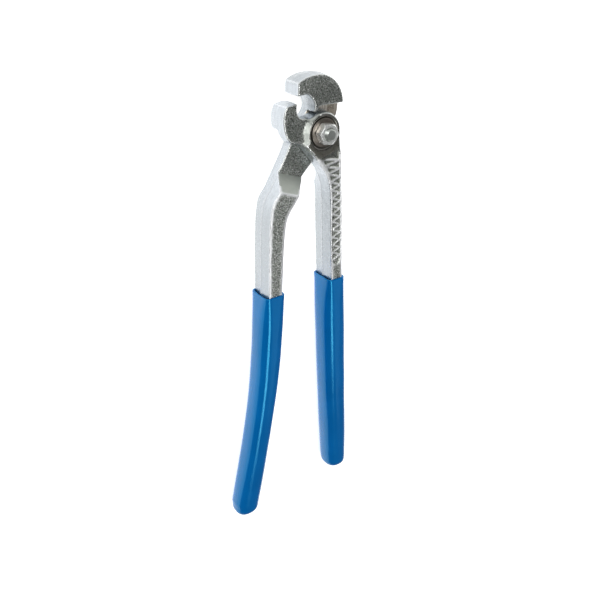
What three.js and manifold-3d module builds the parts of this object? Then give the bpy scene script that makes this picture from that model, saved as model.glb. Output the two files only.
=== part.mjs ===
// Fencing pliers: two drop-forged levers that cross in a half-lap joint on an M6 bolt, with dip-coated grips.
// Units are millimetres, +Z up. The tool lies on its back: the jaws point along +Y, the front face is up, and
// the origin is on the pivot axis in the plane that the tool rests on.
import * as THREE from "three";
import { mergeVertices } from "three/addons/utils/BufferGeometryUtils.js";
import Module from "manifold-3d";

// Driving dimensions
const HANDLE_THICKNESS = 15; // over the forged handles, front face to back face
const JAW_THICKNESS = 12; // over the jaws
const BULGE = 0.8; // how far the sides stand out at the parting line, from the forging draft
const PARTING_LAND = 0.5; // width of the trimmed flash at the parting line
const COAT = 0.8; // outside of the dip coating above the steel
const BELLY = 3; // how far the coating's rounded sides stand out from its flat faces
const BELLY_FACETS = 3; // from a face to the middle of a side
const GAP = 0.2; // clearance between neighbouring pieces
const DIP_LINE = -84; // Y where the coating starts
const EYE_RADIUS = 10.2;
const BOSS_TOP_RADIUS = 8.5;
const BOSS_FOOT_RADIUS = 12.3;
const SEAT_RADIUS = 8.1; // spot face for the washer
const SEAT_DEPTH = 0.9;
const PANEL_DEPTH = 0.7;
const BOLT_RADIUS = 3; // M6
const HEX_FLATS = 10; // across the flats of the M6 head and nut
const HEAD_HEIGHT = 4;
const WASHER = { radius: 7.4, thickness: 0.8 };
const NUT_HEIGHT = 4.7;
const BOLT_PROUD = 1.4; // how far the bolt's end stands out of the nut
const END_CHAMFER = 0.7; // on the bolt's end
const NUT_TURN = 0.4; // how far the nut is turned about the bolt, in radians
const ROUND_STEPS = 32; // facets on a full turn
const EDGE_STEPS = 3; // facets between two points of a spline edge

const HALF = HANDLE_THICKNESS / 2;
const JAW_HALF = JAW_THICKNESS / 2;
const MID_HEIGHT = HALF + COAT; // the lap plane above the table
const FAR = 60; // cutters run this far past the part

// Edges of the levers where they meet the front and back faces, as [x, y] with the pivot at the origin.
const BACK = {
  crown: { centre: [-2.5, 13.3], radius: 15, from: 0.02, to: 1.71 },
  crownSlope: [
    [-4.6, 28.2],
    [-10.3, 27.9],
    [-14.4, 25.3],
  ],
  hook: [
    [-13.6, 19.3],
    [-12.2, 19.6],
    [-9.8, 20.1],
    [-7.6, 18.95],
    [-5.9, 17.0],
    [-4.7, 14.9],
    [-4.4, 13.0],
    [-4.9, 10.9],
    [-6.5, 8.0],
    [-9.3, 4.6],
    [-12.4, -0.6],
    [-15.0, -5.7],
  ],
  lipCorner: [-14.6, 19.5],
  leftEdge: [
    [-15.0, -5.7],
    [-18.2, -12.0],
    [-22.5, -18.9],
    [-26.9, -26.5],
    [-31.0, -32.2],
    [-32.7, -40.5],
    [-33.5, -51.4],
    [-34.0, -62.7],
    [-34.6, -84],
    [-35.8, -107],
    [-37.8, -131],
    [-40.7, -153],
    [-43.6, -170],
    [-46.9, -187],
    [-50.5, -203.5],
    [-54.2, -220.8],
  ],
  rightEdge: [
    [-46.7, -220.8],
    [-42.9, -203.5],
    [-39.7, -187],
    [-36.5, -170],
    [-33.4, -153],
    [-30.1, -131],
    [-27.9, -107],
    [-26.5, -84],
    [-25.5, -64.9],
    [-24.1, -48],
    [-22.1, -40],
    [-17.7, -33.8],
    [-9.0, -22.6],
    [-2.7, -16.3],
  ],
  eyeArc: { from: -0.83, to: 0.35 },
  neckRight: [
    [12.2, 6.0],
    [13.1, 8.7],
    [13.3, 11.5],
  ],
  // Region thinned to the jaw, and region cut away down to the lap plane
  jaw: [
    [-FAR, FAR],
    [-FAR, -2],
    [-7.5, -4],
    [-5, 6.5],
    [0, 8.4],
    [6, 8.4],
    [12, 3],
    [FAR, 3],
    [FAR, FAR],
  ],
  shoulder: [
    [-FAR, 10.8],
    [-3.3, 10.8],
    [-2.6, 12.6],
    [-1.6, 13.4],
    [FAR, 13.4],
    [FAR, -FAR],
    [-FAR, -FAR],
  ],
  // Handle thickness along the handle, as [y, share of HANDLE_THICKNESS]
  taper: [
    [-120, 1],
    [-190, 0.87],
    [-221, 0.93],
    [-240, 0.93],
  ],
};

const FRONT = {
  jawTop: [
    [-15.5, 15.8],
    [-21.1, 15.0],
  ],
  jawOuter: [
    [-21.1, 15.0],
    [-22.4, 12.5],
    [-23.0, 9.6],
    [-23.1, 7.0],
    [-22.6, 3.4],
    [-21.6, 0.6],
    [-20.2, -1.6],
  ],
  heel: [
    [-18.6, -2.9],
    [-13.3, -3.9],
  ],
  leftEdge: [
    [-13.3, -3.9],
    [-10.2, -6.4],
    [-7.7, -9.4],
    [-4.4, -13.1],
    [-1.2, -17.8],
    [1.5, -21.6],
    [3.3, -25.2],
    [4.6, -31.0],
    [5.3, -40.0],
    [5.6, -54.8],
    [6.7, -84],
    [7.3, -107],
    [8.4, -135],
    [9.8, -165],
    [11.1, -190],
    [12.7, -215.3],
  ],
  rightEdge: [
    [19.7, -215.3],
    [18.9, -190],
    [17.6, -164],
    [16.4, -135],
    [15.1, -107],
    [13.8, -84],
    [12.8, -50.5],
    [12.2, -33],
    [11.5, -21.8],
    [10.8, -10.8],
    [10.2, -3.0],
  ],
  eyeArc: { from: -0.1, to: 2.0 },
  mouth: [
    [-8.2, 7.6],
    [-11.2, 7.9],
    [-13.7, 8.7],
    [-14.9, 9.9],
    [-15.8, 11.9],
    [-15.9, 13.6],
  ],
  jaw: [
    [-FAR, FAR],
    [-FAR, -FAR / 2],
    [-12.2, -5.2],
    [-7.4, -3.4],
    [-3, 0],
    [-2.2, 8],
    [-4.5, FAR],
  ],
  shoulder: [
    [-9.0, FAR],
    [-12.6, 8.6],
    [-15.5, 4.6],
    [-19, 3.2],
    [-FAR, 3.2],
    [-FAR, -FAR],
    [FAR, -FAR],
    [FAR, FAR],
  ],
  taper: [
    [-120, 1],
    [-190, 0.96],
    [-217, 0.93],
    [-240, 0.93],
  ],
  panel: [
    [9.5, -10.5],
    [-0.5, -13.3],
    [0.7, -16.3],
    [3.3, -20.6],
    [5.3, -27.0],
    [6.2, -35.5],
    [6.5, -55.0],
    [7.1, -72.0],
    [8.0, -74.2],
    [9.8, -75.2],
    [11.6, -74.2],
    [12.4, -71.0],
    [11.8, -50.0],
    [11.2, -33.0],
    [10.5, -21.0],
  ],
};

// Ramps where a handle swells from the lap plane to its full thickness: a point on the line where the ramp
// starts, the direction in which it rises, and its length.
const BACK_RAMP = { start: [-14.9, -21.1], along: [-0.34, -0.94], length: 8.9 };
const FRONT_RAMP = { start: [5, -20], along: [-0.05, -1], length: 9.5 };

// Panel ribs: short raised bars across the recess of the front lever, leaning one way and the other in turn.
const RIBS = {
  count: 26,
  first: -15,
  pitch: 2.25,
  width: 0.9,
  lean: 0.8,
  height: 0.6,
  root: 0.1,
  margin: 1.6,
};

// What is ground off so that the jaws meet on flat lands, without the bulge of the parting line.
const BACK_LAND = [
  [-FAR, 19.4],
  [-14.6, 19.4],
  [-11.7, 19.6],
  [-11.7, 12],
  [-FAR, 12],
];
const FRONT_LAND = [
  [-FAR, 9.4],
  [-21.1, 15.0],
  [-15.5, 15.8],
  [-10, 16.6],
  [-10, FAR],
  [-FAR, FAR],
];

const wasm = await Module();
wasm.setup();

const points = (list) => list.map(([x, y]) => new THREE.Vector2(x, y));
const spline = (list) => new THREE.SplineCurve(points(list)).getPoints(EDGE_STEPS * (list.length - 1));
const circlePoint = (radius, angle) => [radius * Math.cos(angle), radius * Math.sin(angle)];

function arc([x, y], radius, from, to, steps = 10) {
  const path = [];
  for (let i = 0; i <= steps; i++) {
    const [dx, dy] = circlePoint(radius, from + ((to - from) * i) / steps);
    path.push(new THREE.Vector2(x + dx, y + dy));
  }
  return path;
}

// The rounded end of a handle, between the last points of its left and right edges.
function handleEnd(leftEdge, rightEdge) {
  const [left, right] = points([leftEdge.at(-1), rightEdge[0]]);
  const centre = left.clone().add(right).multiplyScalar(0.5);
  const start = left.clone().sub(centre).angle();
  return arc(centre.toArray(), left.distanceTo(right) / 2, start, start + Math.PI, 8).slice(1, -1);
}

function solidOf(geometry) {
  geometry.deleteAttribute("normal");
  geometry.deleteAttribute("uv");
  const merged = mergeVertices(geometry, 1e-4);
  const vertProperties = merged.attributes.position.array;
  const triVerts = new Uint32Array(merged.index.array);
  return new wasm.Manifold(new wasm.Mesh({ numProp: 3, vertProperties, triVerts }));
}

// An outline forged to a thickness: widest at the parting line in the middle, narrower at both faces.
function forged(outline, thickness, taper, outside = 0, bulge = BULGE, facets = 1) {
  const geometry = new THREE.ExtrudeGeometry(new THREE.Shape(outline), {
    depth: PARTING_LAND,
    bevelThickness: (thickness - PARTING_LAND) / 2,
    bevelSize: bulge,
    bevelOffset: outside,
    bevelSegments: facets,
  });
  geometry.translate(0, 0, -PARTING_LAND / 2);
  const position = geometry.attributes.position;
  for (let i = 0; i < position.count; i++)
    position.setZ(i, position.getZ(i) * shareAt(taper, position.getY(i)));
  return solidOf(geometry);
}

// Value of a list of [y, value] pairs at y, on straight lines between them.
function shareAt(taper, y) {
  for (let i = 1; i < taper.length; i++) {
    const [y0, v0] = taper[i - 1];
    const [y1, v1] = taper[i];
    if (y >= y0) return v0;
    if (y >= y1) return THREE.MathUtils.mapLinear(y, y0, y1, v0, v1);
  }
  return taper.at(-1)[1];
}

function slab(outline, low, high) {
  const geometry = new THREE.ExtrudeGeometry(new THREE.Shape(points(outline)), {
    depth: high - low,
    bevelEnabled: false,
  });
  geometry.translate(0, 0, low);
  return solidOf(geometry);
}

function round(topRadius, footRadius, low, high, sides = ROUND_STEPS, turn = 0) {
  const geometry = new THREE.CylinderGeometry(topRadius, footRadius, high - low, sides);
  geometry.rotateY(turn);
  geometry.rotateX(Math.PI / 2);
  geometry.translate(0, 0, (low + high) / 2);
  return solidOf(geometry);
}

const hexagon = (flats, low, high, turn = 0) =>
  round(flats / Math.sqrt(3), flats / Math.sqrt(3), low, high, 6, turn);

// Everything under a ramp's sloping face, on the front (side 1) or the back (side -1) of a lever.
function underRamp({ start, along, length }, side) {
  const rise = HALF + BULGE;
  const run = length * (rise / HALF);
  const profile = points([
    [0, (-side * GAP) / 2],
    [run, side * rise],
    [FAR, side * rise],
    [FAR, -side],
    [0, -side],
  ]);
  const geometry = new THREE.ExtrudeGeometry(new THREE.Shape(profile), {
    depth: 2 * FAR,
    bevelEnabled: false,
  });
  geometry.translate(0, 0, -FAR);
  const downhill = new THREE.Vector3(...along, 0).normalize();
  const up = new THREE.Vector3(0, 0, 1);
  const across = new THREE.Vector3().crossVectors(downhill, up);
  const place = new THREE.Matrix4().makeBasis(downhill, up, across).setPosition(start[0], start[1], 0);
  geometry.applyMatrix4(place);
  return solidOf(geometry);
}

// What is cut away on one side of the lap plane so that the other lever can cross.
function lap(region, ramp, side) {
  const levels = side > 0 ? [-GAP / 2, FAR] : [-FAR, GAP / 2];
  return slab(region, ...levels).subtract(underRamp(ramp, side));
}

function backLeverOutline() {
  const { crown, crownSlope, hook, lipCorner, leftEdge, rightEdge, eyeArc, neckRight } = BACK;
  const slope = new THREE.QuadraticBezierCurve(...points(crownSlope)).getPoints(6);
  return [
    ...slope,
    ...points([lipCorner]),
    ...spline(hook),
    ...spline(leftEdge).slice(1),
    ...handleEnd(leftEdge, rightEdge),
    ...spline(rightEdge),
    ...arc([0, 0], EYE_RADIUS, eyeArc.from, eyeArc.to, 8),
    ...points(neckRight),
    ...arc(crown.centre, crown.radius, crown.from, crown.to, 14).slice(0, -1),
  ];
}

function frontLeverOutline() {
  const { jawTop, jawOuter, heel, leftEdge, rightEdge, eyeArc, mouth } = FRONT;
  return [
    ...points(jawTop.slice(0, 1)),
    ...spline(jawOuter),
    ...points(heel.slice(0, 1)),
    ...spline(leftEdge),
    ...handleEnd(leftEdge, rightEdge),
    ...spline(rightEdge),
    ...arc([0, 0], EYE_RADIUS, eyeArc.from, eyeArc.to, 14),
    ...spline(mouth),
  ];
}

// The part of a lever's handle that the coating can reach, as an outline of its own.
function coatedOutline({ leftEdge, rightEdge }) {
  const start = DIP_LINE + 20;
  return [
    ...spline(leftEdge).filter((p) => p.y < start),
    ...handleEnd(leftEdge, rightEdge),
    ...spline(rightEdge).filter((p) => p.y < start),
  ];
}

// Thins the jaw to JAW_THICKNESS on both faces, and leaves a cone-sided boss around the pivot on one of them.
function thinJaw(lever, region, bossSide) {
  const top = slab(region, JAW_HALF, FAR);
  const bottom = slab(region, -FAR, -JAW_HALF);
  const radii = bossSide > 0 ? [BOSS_TOP_RADIUS, BOSS_FOOT_RADIUS] : [BOSS_FOOT_RADIUS, BOSS_TOP_RADIUS];
  const levels = bossSide > 0 ? [JAW_HALF, HALF] : [-HALF, -JAW_HALF];
  const boss = round(...radii, ...levels);
  return lever.subtract(top.subtract(boss)).subtract(bottom.subtract(boss));
}

const bore = () => round(BOLT_RADIUS + GAP, BOLT_RADIUS + GAP, -FAR, FAR);

function backLever() {
  const seat = round(SEAT_RADIUS, SEAT_RADIUS, -FAR, -HALF + SEAT_DEPTH);
  const pocket = hexagon(HEX_FLATS + 2 * GAP, -FAR, -MID_HEIGHT + HEAD_HEIGHT + GAP);
  return thinJaw(forged(backLeverOutline(), HANDLE_THICKNESS, BACK.taper), BACK.jaw, -1)
    .subtract(slab(BACK_LAND, -FAR, FAR))
    .subtract(lap(BACK.shoulder, BACK_RAMP, 1))
    .subtract(seat)
    .subtract(pocket)
    .subtract(bore());
}

function frontLever() {
  const seat = round(SEAT_RADIUS, SEAT_RADIUS, HALF - SEAT_DEPTH, FAR);
  const plain = thinJaw(forged(frontLeverOutline(), HANDLE_THICKNESS, FRONT.taper), FRONT.jaw, 1)
    .subtract(slab(FRONT_LAND, -FAR, FAR))
    .subtract(lap(FRONT.shoulder, FRONT_RAMP, -1))
    .subtract(seat)
    .subtract(bore())
    .subtract(slab(FRONT.panel, HALF - PANEL_DEPTH, FAR));
  return panelRibs().reduce((lever, rib) => lever.add(rib), plain);
}

// X of an edge given as [x, y] points, at y.
function edgeX(edge, y) {
  const curve = spline(edge);
  const i = curve.findIndex((p, k) => k > 0 && (p.y - y) * (curve[k - 1].y - y) <= 0);
  return THREE.MathUtils.mapLinear(y, curve[i - 1].y, curve[i].y, curve[i - 1].x, curve[i].x);
}

function panelRibs() {
  const ribs = [];
  for (let i = 0; i < RIBS.count; i++) {
    const y = RIBS.first - i * RIBS.pitch;
    const left = edgeX(FRONT.leftEdge, y) + RIBS.margin;
    const right = edgeX(FRONT.rightEdge, y) - RIBS.margin;
    const lean = i % 2 ? RIBS.lean : -RIBS.lean;
    const floor = HALF - PANEL_DEPTH;
    const bar = [
      [left, y - lean],
      [right, y + lean],
      [right, y + lean + RIBS.width],
      [left, y - lean + RIBS.width],
    ];
    ribs.push(slab(bar, floor - RIBS.root, floor + RIBS.height));
  }
  return ribs;
}

function grip(lever) {
  const outline = coatedOutline(lever);
  const above = slab(
    [
      [-FAR, DIP_LINE],
      [FAR, DIP_LINE],
      [FAR, 0],
      [-FAR, 0],
    ],
    -FAR,
    FAR,
  );
  const thickness = HANDLE_THICKNESS + 2 * COAT;
  const outside = forged(outline, thickness, lever.taper, COAT, BELLY, BELLY_FACETS);
  const inside = forged(outline, HANDLE_THICKNESS + 2 * GAP, lever.taper, GAP);
  return outside.subtract(inside).subtract(above);
}

const seatLevel = HALF - SEAT_DEPTH;
const nutFoot = seatLevel + WASHER.thickness + GAP;
const nutTop = nutFoot + NUT_HEIGHT;

function pivotBolt() {
  const end = nutTop + BOLT_PROUD;
  const shank = round(BOLT_RADIUS, BOLT_RADIUS, HEAD_HEIGHT / 2 - MID_HEIGHT, end - END_CHAMFER);
  const chamfer = round(BOLT_RADIUS - END_CHAMFER, BOLT_RADIUS, end - END_CHAMFER, end);
  return hexagon(HEX_FLATS, -MID_HEIGHT, HEAD_HEIGHT - MID_HEIGHT).add(shank).add(chamfer);
}

function pivotWasher() {
  const low = seatLevel + GAP / 2;
  return round(WASHER.radius, WASHER.radius, low, low + WASHER.thickness).subtract(bore());
}

const pivotNut = () => hexagon(HEX_FLATS, nutFoot, nutTop, NUT_TURN).subtract(bore());

const steel = new THREE.MeshStandardMaterial({ color: 0x9a9d98, roughness: 0.45, metalness: 1 });
const zinc = new THREE.MeshStandardMaterial({ color: 0xc9ccc8, roughness: 0.3, metalness: 1 });
const blueCoat = new THREE.MeshStandardMaterial({ color: 0x0d6fbe, roughness: 0.3, metalness: 0 });

function meshOf(name, solid, material) {
  const { vertProperties, triVerts } = solid.getMesh();
  const geometry = new THREE.BufferGeometry();
  geometry.setAttribute("position", new THREE.BufferAttribute(vertProperties, 3));
  geometry.setIndex(new THREE.BufferAttribute(triVerts, 1));
  geometry.computeVertexNormals();
  const mesh = new THREE.Mesh(geometry, material);
  mesh.name = name;
  return mesh;
}

const pliers = new THREE.Group();
pliers.position.z = MID_HEIGHT;
pliers.add(
  meshOf("back_lever", backLever(), steel),
  meshOf("back_grip", grip(BACK), blueCoat),
  meshOf("pivot_bolt", pivotBolt(), zinc),
  meshOf("pivot_washer", pivotWasher(), zinc),
  meshOf("pivot_nut", pivotNut(), zinc),
  meshOf("front_lever", frontLever(), steel),
  meshOf("front_grip", grip(FRONT), blueCoat),
);

const part = new THREE.Group();
part.add(pliers);
export default part;
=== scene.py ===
"""Fencing pliers, lying on their back: forged levers, dip-coated grips and the pivot hardware."""

import math

import bmesh
import bpy
import numpy as np
from mathutils import Matrix, Vector, noise
from mathutils.bvhtree import BVHTree


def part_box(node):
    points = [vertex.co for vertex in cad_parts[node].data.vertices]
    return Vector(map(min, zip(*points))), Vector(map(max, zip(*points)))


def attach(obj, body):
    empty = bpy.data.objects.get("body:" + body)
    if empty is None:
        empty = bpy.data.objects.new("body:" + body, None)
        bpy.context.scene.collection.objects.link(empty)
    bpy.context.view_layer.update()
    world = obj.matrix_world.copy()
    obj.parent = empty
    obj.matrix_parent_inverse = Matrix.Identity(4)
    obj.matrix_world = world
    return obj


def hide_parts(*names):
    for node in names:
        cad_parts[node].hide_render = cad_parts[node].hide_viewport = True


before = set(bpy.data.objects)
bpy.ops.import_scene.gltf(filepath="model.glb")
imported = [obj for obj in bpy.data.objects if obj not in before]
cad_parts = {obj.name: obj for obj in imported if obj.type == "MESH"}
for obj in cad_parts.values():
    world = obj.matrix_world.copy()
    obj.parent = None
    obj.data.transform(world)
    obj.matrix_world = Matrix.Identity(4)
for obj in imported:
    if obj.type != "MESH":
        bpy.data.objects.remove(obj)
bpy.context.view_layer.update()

MM = 0.001
UP = Vector((0, 0, 1))
SIDES = 144  # facets around the nut and the bolt

# Camera: turn and tilt about the tool as if it stood on its handles, its place, and its focal length in mm.
CAMERA_TURN = math.radians(34.74)
CAMERA_TILT = math.radians(27.32)
CAMERA_PLACE = Vector((-214.9, 91.3, 304.2)) * MM
LENS = 43.2

# Sizes of the real tool, in millimetres
MID = 8.3  # height of the lap plane
DIP_LINE = -84.0  # where the coating starts along the handle
VOXEL = 0.36  # size of the mesh on the levers
COAT = 0.9  # thickness of the coating's wall
COAT_FACE = 0.8  # thickness of the coating on the steel's faces
BELLY = 3.0  # how far the coating's sides stand out from its flat faces
DRAFT = 0.8  # how far the steel's sides stand out at mid height
FLASH_PROUD = 0.16  # height of the flash line on the handles
FLASH_SPREAD = 0.4  # half its width
FOOT_RADIUS = 12.0  # foot of the boss around the pivot
FILLET = 2.2  # reach of the fillet on either side of that foot
SEAT_EDGE = 8.6  # inside this radius the steel is machined smooth
HIDDEN_SHRINK = 0.2  # how much thinner the steel is drawn inside the coating
END_ROUND = 6.2  # length of the rounded end of a coating
LIP_PROUD = 0.22  # height of the roll at a coating's mouth
HEX_FLATS = 10.0
BOLT_RADIUS = 3.0
NUT_BORE = 3.1
THREAD_PITCH = 1.0
THREAD_DEPTH = 0.42


# ---------------------------------------------------------------------------------------------- studio


def add_camera():
    data = bpy.data.cameras.new("camera")
    data.lens = LENS
    data.sensor_width = 36
    data.clip_start = 0.01
    camera = bpy.data.objects.new("camera", data)
    bpy.context.scene.collection.objects.link(camera)
    a, e = CAMERA_TURN, CAMERA_TILT
    right = Vector((math.cos(a), 0, math.sin(a)))
    up = Vector((math.sin(a) * math.sin(e), math.cos(e), -math.cos(a) * math.sin(e)))
    back = right.cross(up)
    turn = Matrix((right, up, back)).transposed().to_4x4()
    camera.matrix_world = Matrix.Translation(CAMERA_PLACE) @ turn
    bpy.context.scene.camera = camera


def add_area(name, place, size, power, aim=(0, -0.09, 0)):
    data = bpy.data.lights.new(name, "AREA")
    data.shape = "RECTANGLE"
    data.size, data.size_y = size
    data.energy = power
    light = bpy.data.objects.new(name, data)
    light.location = place
    direction = Vector(aim) - Vector(place)
    light.rotation_euler = direction.to_track_quat("-Z", "Y").to_euler()
    bpy.context.scene.collection.objects.link(light)


def add_studio():
    bpy.ops.mesh.primitive_plane_add(size=8, location=(0, 0, -0.1 * MM))
    floor = bpy.context.object
    floor.name = "floor"
    paint = bpy.data.materials.new("floor_paint")
    paint.use_nodes = True
    shader = paint.node_tree.nodes["Principled BSDF"]
    shader.inputs["Base Color"].default_value = (0.95, 0.95, 0.95, 1)
    shader.inputs["Roughness"].default_value = 0.9
    shader.inputs["Specular IOR Level"].default_value = 0.1
    shader.inputs["Emission Color"].default_value = (1, 1, 1, 1)
    shader.inputs["Emission Strength"].default_value = 0.7
    floor.data.materials.append(paint)

    world = bpy.data.worlds.new("studio")
    bpy.context.scene.world = world
    world.use_nodes = True
    world.node_tree.nodes["Background"].inputs["Color"].default_value = (0.13, 0.133, 0.137, 1)
    bpy.context.scene.view_settings.view_transform = "Standard"
    add_area("overhead", (-0.06, -0.06, 0.95), (0.35, 0.35), 1.3)
    add_area("upper_left", (-0.54, 0.5, 0.9), (0.6, 0.6), 6.0)
    add_area("lower_left", (-0.08, -0.61, 0.94), (0.28, 0.28), 1.8)
    add_area("front_fill", (0.52, -0.54, 0.76), (0.45, 0.34), 0.22)
    add_area("behind", (0.0, 1.2, 0.7), (0.8, 0.6), 1.5)
    add_area("right", (1.1, 0.5, 0.5), (1.4, 1.0), 4)


# ---------------------------------------------------------------------------------------------- meshes


def object_from(name, mesh):
    piece = bpy.data.objects.new(name, mesh)
    bpy.context.scene.collection.objects.link(piece)
    return piece


def mesh_from(name, vertices, faces):
    """A smooth-shaded mesh from points in millimetres, with its normals turned outwards."""
    mesh = bpy.data.meshes.new(name)
    mesh.from_pydata([tuple(c * MM for c in v) for v in vertices], [], faces)
    work = bmesh.new()
    work.from_mesh(mesh)
    bmesh.ops.remove_doubles(work, verts=work.verts, dist=1e-7)
    bmesh.ops.recalc_face_normals(work, faces=work.faces)
    work.to_mesh(mesh)
    work.free()
    mesh.shade_smooth()
    return mesh


def positions(mesh):
    co = np.empty(len(mesh.vertices) * 3, np.float64)
    mesh.vertices.foreach_get("co", co)
    return co.reshape(-1, 3) / MM


def normals(mesh):
    out = np.empty(len(mesh.vertices) * 3, np.float64)
    mesh.vertex_normals.foreach_get("vector", out)
    return out.reshape(-1, 3)


def move_to(mesh, co):
    mesh.vertices.foreach_set("co", (co * MM).ravel())
    mesh.update()


def apply_modifiers(piece):
    """Freezes a piece's modifiers into its mesh."""
    evaluated = piece.evaluated_get(bpy.context.evaluated_depsgraph_get())
    done = bpy.data.meshes.new_from_object(evaluated)
    piece.modifiers.clear()
    piece.data = done
    return done


def smoothstep(x, low, high):
    t = np.clip((x - low) / (high - low), 0, 1)
    return t * t * (3 - 2 * t)


def field(co, scale, seed):
    """Smooth noise at each point, with features about `scale` millimetres across."""
    offset = Vector((seed * 17.3, seed * 5.1, seed * 9.7))
    return np.array([noise.noise(Vector(p) / scale + offset) for p in co])


# ---------------------------------------------------------------------------------------------- levers


def section_centres(co):
    """Centre of the handle's width at each point's y, from the lever's own extent there."""
    stations = np.arange(co[:, 1].min(), DIP_LINE + 3, 1.5)
    middles = []
    for y in stations:
        near = co[np.abs(co[:, 1] - y) < 2.5]
        middles.append((near[:, 0].min() + near[:, 0].max()) / 2)
    return np.interp(co[:, 1], stations, middles)


def cad_mesh(node):
    """A copy of a CAD node's mesh, without its materials."""
    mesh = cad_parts[node].data.copy()
    mesh.materials.clear()
    return mesh


def forged_lever(node, name, body, seed):
    """The lever with forged edges: softened corners, the flash line and the uneven skin of a forging."""
    piece = object_from(name, cad_mesh(node))
    remesh = piece.modifiers.new("remesh", "REMESH")
    remesh.mode = "VOXEL"
    remesh.voxel_size = VOXEL * MM
    smooth = piece.modifiers.new("smooth", "SMOOTH")
    smooth.factor = 0.5
    smooth.iterations = 4
    mesh = apply_modifiers(piece)

    co, out = positions(mesh), normals(mesh)
    side = 1 - smoothstep(np.abs(out[:, 2]), 0.35, 0.7)
    flash = np.exp(-(((co[:, 2] - MID) / FLASH_SPREAD) ** 2)) * side
    handle = 1 - smoothstep(co[:, 1], -24, -16)
    skin = 0.06 + 0.05 * field(co, 2.2, seed)
    skin += 0.022 * field(co, 0.9, seed + 1) + 0.10 * field(co, 9, seed + 2)
    radius = np.hypot(co[:, 0], co[:, 1])
    foot = (np.abs(radius - FOOT_RADIUS) < FILLET) & (np.abs(co[:, 2] - MID) > 5.6)
    co = relax(mesh, co, foot, 22)
    ground = (radius < SEAT_EDGE) | (np.abs(co[:, 2] - MID) < 0.35)
    skin[ground & (np.abs(out[:, 2]) > 0.6)] *= 0.15
    co += out * (skin + FLASH_PROUD * flash * handle)[:, None]

    hidden = 1 - smoothstep(co[:, 1], DIP_LINE - 9, DIP_LINE - 1.5)
    shrink = 1 - HIDDEN_SHRINK * hidden
    centre = section_centres(co)
    co[:, 0] = centre + (co[:, 0] - centre) * shrink
    co[:, 2] = MID + (co[:, 2] - MID) * shrink
    tip = co[:, 1].min()
    co[:, 1] += 2.5 * hidden * smoothstep(-co[:, 1], -tip - 12, -tip)
    co[:, 2] = np.maximum(co[:, 2], 0.3)
    move_to(mesh, co)

    group = piece.vertex_groups.new(name="hidden")
    group.add([int(i) for i in np.nonzero(co[:, 1] < DIP_LINE - 6)[0]], 1, "REPLACE")
    thin = piece.modifiers.new("thin", "DECIMATE")
    thin.vertex_group = "hidden"
    thin.ratio = 0.55
    mesh = apply_modifiers(piece)
    mesh.shade_smooth()
    mark_edges(mesh)
    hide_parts(node)
    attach(piece, body)
    return piece


def neighbours(mesh):
    """The two ends of every edge, and how many edges meet at each vertex."""
    ends = np.empty(len(mesh.edges) * 2, np.int64)
    mesh.edges.foreach_get("vertices", ends)
    a, b = ends.reshape(-1, 2).T
    return a, b, np.maximum(np.bincount(ends, minlength=len(mesh.vertices)), 1)


def around(values, ends):
    """Mean of the neighbours' values at each vertex."""
    a, b, count = ends
    columns = values.reshape(len(count), -1).T
    total = [np.bincount(a, c[b], len(count)) + np.bincount(b, c[a], len(count)) for c in columns]
    return (np.array(total) / count).T.reshape(values.shape)


def relax(mesh, co, where, rounds):
    """Smooths part of a mesh, so that two surfaces run into each other in a fillet."""
    ends = neighbours(mesh)
    for _ in range(rounds):
        co = np.where(where[:, None], 0.5 * co + 0.5 * around(co, ends), co)
    return co


def mark_edges(mesh):
    """Stores how far each vertex stands proud of the next ones, and how far a rib stands out of its face."""
    co, out = positions(mesh), normals(mesh)
    ends = neighbours(mesh)
    lift = np.einsum("ij,ij->i", co - around(co, ends), out)
    for _ in range(3):
        lift = 0.5 * lift + 0.5 * around(lift, ends)
    level = co[:, 2]
    for _ in range(45):
        level = 0.5 * level + 0.5 * around(level, ends)
    raised = (co[:, 2] - level - 0.04) / 0.16 * (out[:, 2] > 0.5) * (co[:, 2] > MID + 5)
    for name, values in (("proud", 0.5 + lift * 18), ("raised", raised)):
        layer = mesh.attributes.new(name, "FLOAT", "POINT")
        layer.data.foreach_set("value", np.clip(values, 0, 1).astype(np.float32))


# ---------------------------------------------------------------------------------------------- grips

AROUND = 96


def coat_section(y, tree, low, high):
    """The coating's section at y, from the frame's solid.

    Gives its centre, half width, half height and squareness, and the half width of the steel's faces in it.
    """
    far = 0.2
    left = tree.ray_cast(Vector((-far, y * MM, MID * MM)), Vector((1, 0, 0)))[0]
    right = tree.ray_cast(Vector((far, y * MM, MID * MM)), Vector((-1, 0, 0)))[0]
    centre = (left.x + right.x) / 2 / MM
    half = (right.x - left.x) / 2 / MM
    top = tree.ray_cast(Vector((centre * MM, y * MM, far)), -UP)[0]
    square = 2.75 + 2.6 * math.exp(-(high - y) / 7) - 0.35 * smoothstep(-y, -low - 45, -low)
    tall = top.z / MM - MID
    # The rounded section is as wide as the solid's cornered one, seen from the front left.
    power = square / (square - 1)
    c, s = math.cos(CAMERA_TURN), math.sin(CAMERA_TURN)
    reach = c * (half - BELLY) + s * tall - 0.05
    wide = (reach**power - (s * tall) ** power) ** (1 / power) / c
    return centre, wide, tall, square, half - BELLY - COAT_FACE


def ring(centre, half, tall, square, y, inset=0.0):
    points = []
    for k in range(AROUND):
        angle = 2 * math.pi * k / AROUND
        c, s = math.cos(angle), math.sin(angle)
        x = centre + (half - inset) * math.copysign(abs(c) ** (2 / square), c)
        z = MID + (tall - inset) * math.copysign(abs(s) ** (2 / square), s)
        points.append((x, y, z))
    return points


def snug(points, centre, steel):
    """Draws an inside ring in to the drafted sides of the steel."""
    close = []
    for x, y, z in points:
        reach = steel + 0.25 + DRAFT * (1 - abs(z - MID) / MID)
        close.append((min(max(x, centre - reach), centre + reach), y, z))
    return close


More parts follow.
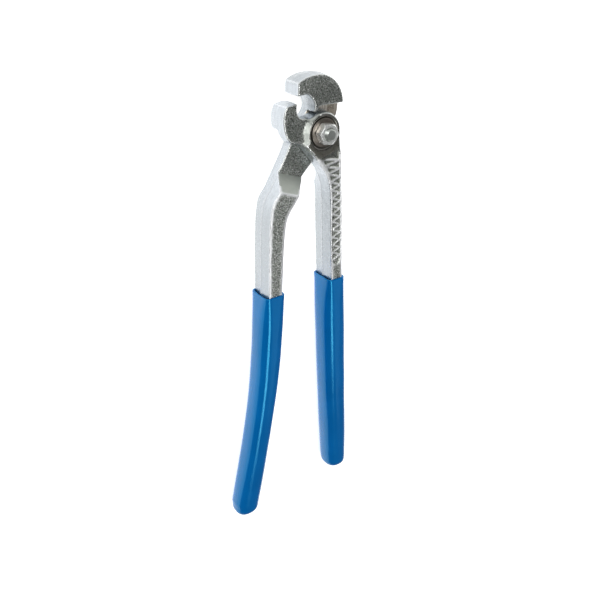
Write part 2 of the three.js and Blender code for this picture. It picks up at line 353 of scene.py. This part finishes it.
def dipped_grip(node, name, body, seed):
    """A coating with a rolled lip, rounded sides and a bulbous end, open where the handle goes in."""
    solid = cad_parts[node]
    tree = BVHTree.FromObject(solid, bpy.context.evaluated_depsgraph_get())
    low, high = (c.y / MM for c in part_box(node))
    last = low + END_ROUND  # the last section of the straight handle, before the end rounds off
    stations = list(np.linspace(high, last, 90))
    sections = [coat_section(min(y, high - 0.3), tree, low, high) for y in stations]

    outer, inner = [], []
    for y, (centre, half, tall, square, steel) in zip(stations, sections):
        lip = LIP_PROUD * math.exp(-(((high - y) - 0.9) / 0.9) ** 2)
        outer.append(ring(centre, half + lip, min(tall + lip, MID - 0.02), square, y))
        inner.append(snug(ring(centre, half, tall, square, y, inset=COAT), centre, steel))
    (x1, half, tall, square, steel), (x0, *_) = sections[-1], sections[-6]
    drift = (x1 - x0) / (stations[-1] - stations[-6])
    reach = last - low
    for step in range(1, 15):
        angle = step / 15 * math.pi / 2
        y = last - reach * math.sin(angle)
        share = (1 - math.sin(angle) ** 2.6) ** (1 / 2.6)
        centre = x1 + drift * (y - last)
        outer.append(ring(centre, half * share, tall * share, square, y))
        if step < 13:
            inset = half * (1 - share) + COAT * share
            inner.append(snug(ring(centre, half, tall, square, y + COAT, inset), centre, steel))
    centre, half, tall, square, steel = sections[0]
    lip_ring = [ring(centre, half + 0.14, tall - 0.02, square, high + 0.35)]
    lip_ring.append(ring(centre, half - 0.35, tall - 0.35, square, high + 0.55))

    rings = inner[::-1] + lip_ring[::-1] + outer
    vertices = [p for r in rings for p in r]
    faces = []
    for r in range(len(rings) - 1):
        for k in range(AROUND):
            n = (k + 1) % AROUND
            faces.append((r * AROUND + k, r * AROUND + n, (r + 1) * AROUND + n, (r + 1) * AROUND + k))
    faces.append(tuple(range(AROUND)))
    faces.append(tuple((len(rings) - 1) * AROUND + k for k in range(AROUND)))
    piece = object_from(name, mesh_from(name, vertices, faces))

    mesh = piece.data
    co, out = positions(mesh), normals(mesh)
    sag = 0.35 * np.exp(-np.abs(co[:, 1] - high) / 2.5) * (field(co * [1, 0, 1], 6, seed) - 0.5)
    wave = 0.09 * field(co * [1, 0.4, 1], 7, seed + 1)
    co += out * (wave * smoothstep(high - co[:, 1], 0.5, 6))[:, None]
    co[:, 1] += sag
    co[:, 2] = np.clip(co[:, 2], 0.02, 2 * MID - 0.02)
    move_to(mesh, co)
    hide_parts(node)
    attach(piece, body)
    return piece


# ---------------------------------------------------------------------------------------------- hardware


def lathe(profile, steps=96):
    """Vertices and faces of a closed profile of (radius, height) turned about the pivot axis."""
    vertices, faces = [], []
    for k in range(steps):
        angle = 2 * math.pi * k / steps
        vertices += [(r * math.cos(angle), r * math.sin(angle), z) for r, z in profile]
    n = len(profile)
    for k in range(steps):
        m = (k + 1) % steps
        for i in range(n):
            j = (i + 1) % n
            faces.append((k * n + i, k * n + j, m * n + j, m * n + i))
    return vertices, faces


def hex_radius(angle, turn, soft=0.12):
    """Distance from the axis to a hexagon's side, with slightly rounded corners."""
    local = (angle - turn) % (math.pi / 3) - math.pi / 6
    sharp = HEX_FLATS / 2 / math.cos(local)
    return min(sharp, HEX_FLATS / math.sqrt(3) - soft)


def hex_rings(turn, low, high, chamfer_low, chamfer_high):
    """Rings of a hexagonal body whose corners are cut by cones at either end."""
    rim = HEX_FLATS / 2 * 0.965
    slope = math.tan(math.radians(30))
    levels = [[], [], [], []]
    for k in range(SIDES):
        angle = 2 * math.pi * k / SIDES
        radius = hex_radius(angle, turn)
        drop = (radius - rim) * slope
        c, s = math.cos(angle), math.sin(angle)
        foot = low + (drop if chamfer_low else 0.05)
        head = high - (drop if chamfer_high else 0.05)
        levels[0].append((rim * c, rim * s, low))
        levels[1].append((radius * c, radius * s, foot))
        levels[2].append((radius * c, radius * s, head))
        levels[3].append((rim * c, rim * s, high))
    return levels


def circle_ring(radius, z):
    angles = [2 * math.pi * k / SIDES for k in range(SIDES)]
    return [(radius * math.cos(a), radius * math.sin(a), z) for a in angles]


def skin_rings(rings, loop):
    """Faces between rings of equal length; `loop` joins last to first, otherwise both ends are closed."""
    steps = len(rings[0])
    vertices = [p for r in rings for p in r]
    faces = []
    pairs = [(i, i + 1) for i in range(len(rings) - 1)] + ([(len(rings) - 1, 0)] if loop else [])
    for i, j in pairs:
        for k in range(steps):
            n = (k + 1) % steps
            faces.append((i * steps + k, i * steps + n, j * steps + n, j * steps + k))
    if not loop:
        faces.append(tuple(range(steps)))
        faces.append(tuple((len(rings) - 1) * steps + k for k in range(steps)))
    return vertices, faces


def sharpen(mesh, degrees):
    """Marks the creases of machined hardware sharp, so that its flats stay flat under smooth shading."""
    work = bmesh.new()
    work.from_mesh(mesh)
    for edge in work.edges:
        if len(edge.link_faces) == 2 and edge.calc_face_angle() > math.radians(degrees):
            edge.smooth = False
    work.to_mesh(mesh)
    work.free()


def hex_corner_angle(node):
    """The direction of one corner of a hexagonal CAD node."""
    co = positions(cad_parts[node].data)
    far = co[np.argmax(np.hypot(co[:, 0], co[:, 1]))]
    return math.atan2(far[1], far[0])


def pivot_nut():
    low, high = (c.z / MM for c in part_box("pivot_nut"))
    turn = hex_corner_angle("pivot_nut")
    rings = hex_rings(turn, low, high, True, True)
    rings += [circle_ring(3.55, high), circle_ring(NUT_BORE, high - 0.45)]
    rings += [circle_ring(NUT_BORE, low + 0.4), circle_ring(3.5, low)]
    vertices, faces = skin_rings(rings, loop=True)
    piece = object_from("pivot_nut_machined", mesh_from("pivot_nut_machined", vertices, faces))
    sharpen(piece.data, 24)
    finish_hardware(piece, "pivot_nut", nut_zinc)


def thread_radius(z, angle):
    phase = (z / THREAD_PITCH - angle / (2 * math.pi)) % 1
    return BOLT_RADIUS - THREAD_DEPTH * min(1, 2.6 * abs(phase - 0.5))


def pivot_bolt():
    low, high = (c.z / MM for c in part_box("pivot_bolt"))
    head_top = low + 4
    turn = hex_corner_angle("pivot_bolt")
    rings = [circle_ring(1.4, low + 0.25), circle_ring(3.6, low + 0.25), circle_ring(3.8, low)]
    rings += hex_rings(turn, low, head_top, True, False)
    rings += [circle_ring(3.3, head_top), circle_ring(2.95, head_top + 0.3)]
    rings += [circle_ring(2.95, z) for z in np.linspace(head_top + 1, high - 7.5, 4)]
    for z in np.arange(high - 7, high - 0.02, 0.1):
        ring_points = []
        for k in range(SIDES):
            angle = 2 * math.pi * k / SIDES
            radius = min(thread_radius(z, angle), 2.5 + (high - z))
            ring_points.append((radius * math.cos(angle), radius * math.sin(angle), z))
        rings.append(ring_points)
    rings += [circle_ring(2.45, high), circle_ring(1.1, high - 0.06), circle_ring(0.4, high - 0.1)]
    vertices, faces = skin_rings(rings, loop=False)
    piece = object_from("pivot_bolt_threaded", mesh_from("pivot_bolt_threaded", vertices, faces))
    sharpen(piece.data, 30)
    finish_hardware(piece, "pivot_bolt", bolt_zinc)


def pivot_washer():
    low, high = (c.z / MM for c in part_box("pivot_washer"))
    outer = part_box("pivot_washer")[1].x / MM
    soft = 0.18
    profile = [(3.3, low + soft), (3.3 + soft, low), (outer - soft, low), (outer, low + soft)]
    profile += [(outer - 0.02, high - 1.6 * soft), (outer - 0.6 * soft, high - 0.5 * soft)]
    profile += [(outer - 2 * soft, high)]
    profile += [(3.4 + soft, high), (3.3, high - soft)]
    vertices, faces = lathe(profile)
    piece = object_from("pivot_washer_pressed", mesh_from("pivot_washer_pressed", vertices, faces))
    sharpen(piece.data, 50)
    finish_hardware(piece, "pivot_washer", washer_zinc_painted_shade)


def finish_hardware(piece, node, material):
    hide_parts(node)
    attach(piece, "back_side")
    piece.data.materials.append(material)


# ---------------------------------------------------------------------------------------------- materials


class Nodes:
    """A short way to build a material's node tree."""

    def __init__(self, name):
        self.material = bpy.data.materials.new(name)
        self.material.use_nodes = True
        self.tree = self.material.node_tree
        self.shader = self.tree.nodes["Principled BSDF"]
        coordinates = self.tree.nodes.new("ShaderNodeTexCoord")
        self.place = coordinates.outputs["Object"]

    def set(self, **values):
        for key, value in values.items():
            self.shader.inputs[key.replace("_", " ")].default_value = value

    def link(self, source, target):
        self.tree.links.new(source, target)

    def scaled(self, scale):
        node = self.tree.nodes.new("ShaderNodeMapping")
        node.inputs["Scale"].default_value = scale
        self.link(self.place, node.inputs["Vector"])
        return node.outputs["Vector"]

    def noise(self, size, detail=2.0, rough=0.5, stretch=(1, 1, 1)):
        """Noise with features about `size` millimetres across."""
        node = self.tree.nodes.new("ShaderNodeTexNoise")
        node.inputs["Scale"].default_value = 1000 / size
        node.inputs["Detail"].default_value = detail
        node.inputs["Roughness"].default_value = rough
        self.link(self.scaled(stretch), node.inputs["Vector"])
        return node.outputs["Fac"]

    def ramp(self, value, low, high, to_low=0.0, to_high=1.0):
        node = self.tree.nodes.new("ShaderNodeMapRange")
        node.interpolation_type = "SMOOTHSTEP"
        for key, number in zip(("From Min", "From Max", "To Min", "To Max"), (low, high, to_low, to_high)):
            node.inputs[key].default_value = number
        self.link(value, node.inputs["Value"])
        return node.outputs["Result"]

    def math(self, operation, a, b):
        node = self.tree.nodes.new("ShaderNodeMath")
        node.operation = operation
        for socket, value in zip(node.inputs, (a, b)):
            if isinstance(value, (int, float)):
                socket.default_value = value
            else:
                self.link(value, socket)
        return node.outputs["Value"]

    def mix(self, factor, a, b, blend="MIX"):
        node = self.tree.nodes.new("ShaderNodeMix")
        node.data_type = "RGBA"
        node.blend_type = blend
        if isinstance(factor, (int, float)):
            node.inputs["Factor"].default_value = factor
        else:
            self.link(factor, node.inputs["Factor"])
        for key, value in (("A", a), ("B", b)):
            socket = [s for s in node.inputs if s.name == key and s.type == "RGBA"][0]
            if isinstance(value, tuple):
                socket.default_value = (*value, 1)
            else:
                self.link(value, socket)
        return [s for s in node.outputs if s.type == "RGBA"][0]

    def attribute(self, name):
        node = self.tree.nodes.new("ShaderNodeAttribute")
        node.attribute_name = name
        return node.outputs["Fac"]

    def axis(self, which):
        node = self.tree.nodes.new("ShaderNodeSeparateXYZ")
        self.link(self.place, node.inputs[0])
        return node.outputs[which]

    def normal(self, which):
        node = self.tree.nodes.new("ShaderNodeSeparateXYZ")
        self.link(self.tree.nodes.new("ShaderNodeNewGeometry").outputs["Normal"], node.inputs[0])
        return node.outputs[which]

    def radius(self):
        """Distance from the pivot axis, in metres."""
        x, y = self.axis("X"), self.axis("Y")
        square = self.math("ADD", self.math("MULTIPLY", x, x), self.math("MULTIPLY", y, y))
        return self.math("SQRT", square, 0)

    def bump(self, height, distance, strength=1.0, normal=None):
        node = self.tree.nodes.new("ShaderNodeBump")
        if isinstance(strength, float):
            node.inputs["Strength"].default_value = strength
        else:
            self.link(strength, node.inputs["Strength"])
        node.inputs["Distance"].default_value = distance * MM
        self.link(height, node.inputs["Height"])
        if normal is not None:
            self.link(normal, node.inputs["Normal"])
        return node.outputs["Normal"]


def forged_steel():
    """Plated forging: grainy faces, smooth drafted sides, brown where the levers rub; edges lighter for wear
    and as painted highlight, rib tops painted as highlights, and painted shade in hollows, around the pivot,
    on the crown and down the handles' sides.
    """
    n = Nodes("forged_steel_skin")
    grain = n.noise(0.75, detail=1.5)
    mottle = n.noise(2.2, detail=2)
    cloud = n.noise(14, detail=3)
    streak = n.noise(1.5, detail=3, stretch=(1, 0.12, 1))
    proud = n.attribute("proud")
    edge = n.ramp(proud, 0.56, 0.9)
    hollow = n.ramp(proud, 0.44, 0.15)
    upright = n.math("ABSOLUTE", n.normal("Z"), 0)
    face = n.ramp(upright, 0.45, 0.65)
    top = n.ramp(upright, 0.8, 0.95)
    y, z = n.axis("Y"), n.axis("Z")
    radius = n.radius()
    boss = n.math("MULTIPLY", n.ramp(radius, 13.6 * MM, 12.0 * MM), n.ramp(z, 14.2 * MM, 14.8 * MM))

    side = n.mix(n.ramp(streak, 0.3, 0.7), (0.47, 0.50, 0.53), (0.54, 0.575, 0.605))
    # Painted shade: the sides are painted darker towards the handle ends and on the crown.
    side = n.mix(n.ramp(y, -22 * MM, -45 * MM, 0.0, 0.75), side, (0.39, 0.415, 0.43))
    side = n.mix(n.ramp(y, 23 * MM, 27 * MM, 0.0, 0.8), side, (0.36, 0.385, 0.40))
    off_middle = n.math("ABSOLUTE", n.math("SUBTRACT", z, MID * MM), 0)
    seam = n.math("MULTIPLY", n.ramp(off_middle, 0.8 * MM, 0.3 * MM), 0.55)
    seam = n.math("MULTIPLY", seam, n.ramp(y, -18 * MM, -26 * MM))
    side = n.mix(n.math("MULTIPLY", seam, n.ramp(streak, 0.3, 0.6, 0.5, 1.0)), side, (0.27, 0.285, 0.30))
    forging = n.mix(n.ramp(cloud, 0.35, 0.7), (0.47, 0.505, 0.46), (0.54, 0.57, 0.52))
    speckle = n.math("MULTIPLY", top, n.ramp(boss, 0, 1, 1, 0.35))
    forging = n.mix(n.math("MULTIPLY", speckle, n.ramp(grain, 0.48, 0.34)), forging, (0.17, 0.185, 0.165))
    forging = n.mix(n.math("MULTIPLY", speckle, n.ramp(grain, 0.53, 0.66)), forging, (1.0, 1.0, 0.99))
    colour = n.mix(face, side, forging)
    # Painted shade: top faces are painted darker towards the pivot.
    pivot_top_shade = n.math("MULTIPLY", top, n.ramp(radius, 34 * MM, 17 * MM, 0.0, 0.45))
    colour = n.mix(pivot_top_shade, colour, (0.07, 0.075, 0.065))
    colour = n.mix(boss, colour, (0.40, 0.42, 0.39))
    # Painted shade: the flat front faces close around the pivot are painted dark brown.
    eye_top_shade = n.math("MULTIPLY", n.ramp(upright, 0.95, 0.985), n.ramp(radius, 16 * MM, 11 * MM))
    eye_top_shade = n.math("MULTIPLY", eye_top_shade, n.ramp(z, 14.6 * MM, 14.8 * MM, 0, 0.75))
    colour = n.mix(eye_top_shade, colour, (0.17, 0.155, 0.125))
    raised = n.math("MULTIPLY", n.attribute("raised"), n.ramp(y, -12 * MM, -14 * MM))
    # Painted shadow: a dark ring is painted on the seat around and under the washer.
    rim = n.math("MULTIPLY", n.ramp(radius, 9.3 * MM, 8.8 * MM), n.ramp(z, 13.5 * MM, 14.5 * MM))
    # Painted shade: recessed vertices are painted dark.
    colour = n.mix(n.math("MULTIPLY", hollow, 0.6), colour, (0.12, 0.115, 0.10))
    # Edges are painted lighter, partly for wear and partly as a painted highlight.
    colour = n.mix(n.math("MULTIPLY", edge, 0.3), colour, (0.9, 0.91, 0.92))
    # Painted highlight: the tops of the raised ribs on the panel are painted near white.
    colour = n.mix(n.math("MULTIPLY", raised, 0.9), colour, (0.98, 0.99, 1.0))
    colour = n.mix(n.math("MULTIPLY", rim, 0.85), colour, (0.13, 0.12, 0.105))
    above = n.ramp(z, (MID - 0.75) * MM, (MID - 0.45) * MM)
    lap = n.math("MULTIPLY", above, n.ramp(z, (MID + 0.75) * MM, (MID + 0.45) * MM))
    lap = n.math("MULTIPLY", n.math("MULTIPLY", lap, top), n.ramp(y, -6 * MM, 4 * MM, 0.0, 1.0))
    rubbed = n.mix(n.ramp(streak, 0.35, 0.65), (0.50, 0.44, 0.36), (0.95, 0.90, 0.82))
    colour = n.mix(lap, colour, rubbed)
    n.link(colour, n.shader.inputs["Base Color"])
    n.set(Metallic=1.0)
    rough = n.ramp(mottle, 0.3, 0.7, 0.34, 0.26)
    rough = n.math("SUBTRACT", rough, n.math("MULTIPLY", edge, 0.08))
    rough = n.math("ADD", rough, n.math("MULTIPLY", hollow, 0.15))
    rough = n.math("ADD", rough, n.math("MULTIPLY", n.math("SUBTRACT", face, top), 0.2))
    rough = n.math("ADD", rough, n.math("MULTIPLY", raised, 0.25))
    n.link(rough, n.shader.inputs["Roughness"])
    uneven = n.math("MULTIPLY", n.ramp(top, 0, 1, 0.25, 1.0), n.ramp(boss, 0, 1, 1, 0.25))
    n.link(n.bump(grain, 0.22, uneven, n.bump(mottle, 0.22, uneven)), n.shader.inputs["Normal"])
    return n.material


def zinc_plate(name, light, dark, roughness, metallic=1.0):
    """Zinc plate, slightly clouded, with small knocks; duller as `metallic` falls."""
    n = Nodes(name)
    cloud = n.noise(3.5, detail=3)
    fine = n.noise(0.4, detail=3, rough=0.6)
    colour = n.mix(n.ramp(cloud, 0.35, 0.7), light, dark)
    colour = n.mix(n.ramp(fine, 0.6, 0.78), colour, tuple(0.7 * c for c in dark))
    n.link(colour, n.shader.inputs["Base Color"])
    n.set(Metallic=metallic)
    n.link(n.ramp(cloud, 0.3, 0.7, roughness - 0.05, roughness + 0.05), n.shader.inputs["Roughness"])
    n.link(n.bump(fine, 0.015, 0.6), n.shader.inputs["Normal"])
    return n.material


def blue_coating():
    """Glossy dipped plastic: deep blue, slightly uneven, with faint scuffs."""
    n = Nodes("blue_dipped_plastic")
    cloud = n.noise(22, detail=3)
    fine = n.noise(0.5, detail=3, rough=0.6)
    wave = n.noise(6, detail=1)
    colour = n.mix(n.ramp(cloud, 0.3, 0.7), (0.0, 0.118, 0.385), (0.0, 0.133, 0.43))
    colour = n.mix(n.ramp(fine, 0.6, 0.8, 0.0, 0.35), colour, (0.0, 0.145, 0.43))
    n.link(colour, n.shader.inputs["Base Color"])
    n.set(Metallic=0.0, IOR=1.75, Specular_Tint=(0.08, 0.72, 1.0, 1.0))
    n.link(n.ramp(cloud, 0.3, 0.7, 0.15, 0.22), n.shader.inputs["Roughness"])
    n.link(n.bump(fine, 0.006, 0.5, n.bump(wave, 0.12, 0.12)), n.shader.inputs["Normal"])
    return n.material


# ---------------------------------------------------------------------------------------------- the tool

add_camera()
add_studio()
steel, blue = forged_steel(), blue_coating()
nut_zinc = zinc_plate("nut_zinc", (0.95, 0.96, 0.94), (0.84, 0.86, 0.83), 0.26, 0.75)
bolt_zinc = zinc_plate("bolt_zinc", (0.52, 0.545, 0.52), (0.42, 0.44, 0.41), 0.36)
# Painted shade: the washer is painted dark brown, far darker than zinc.
washer_zinc_painted_shade = zinc_plate("washer_zinc_painted_shade", (0.23, 0.205, 0.18), (0.16, 0.14, 0.125), 0.36)
for lever, name, body, seed in (
    ("back_lever", "back_lever_forged", "back_side", 3),
    ("front_lever", "front_lever_forged", "front_side", 11),
):
    forged_lever(lever, name, body, seed).data.materials.append(steel)
for coat, name, body, seed in (
    ("back_grip", "back_grip_dipped", "back_side", 5),
    ("front_grip", "front_grip_dipped", "front_side", 8),
):
    dipped_grip(coat, name, body, seed).data.materials.append(blue)
pivot_bolt()
pivot_washer()
pivot_nut()
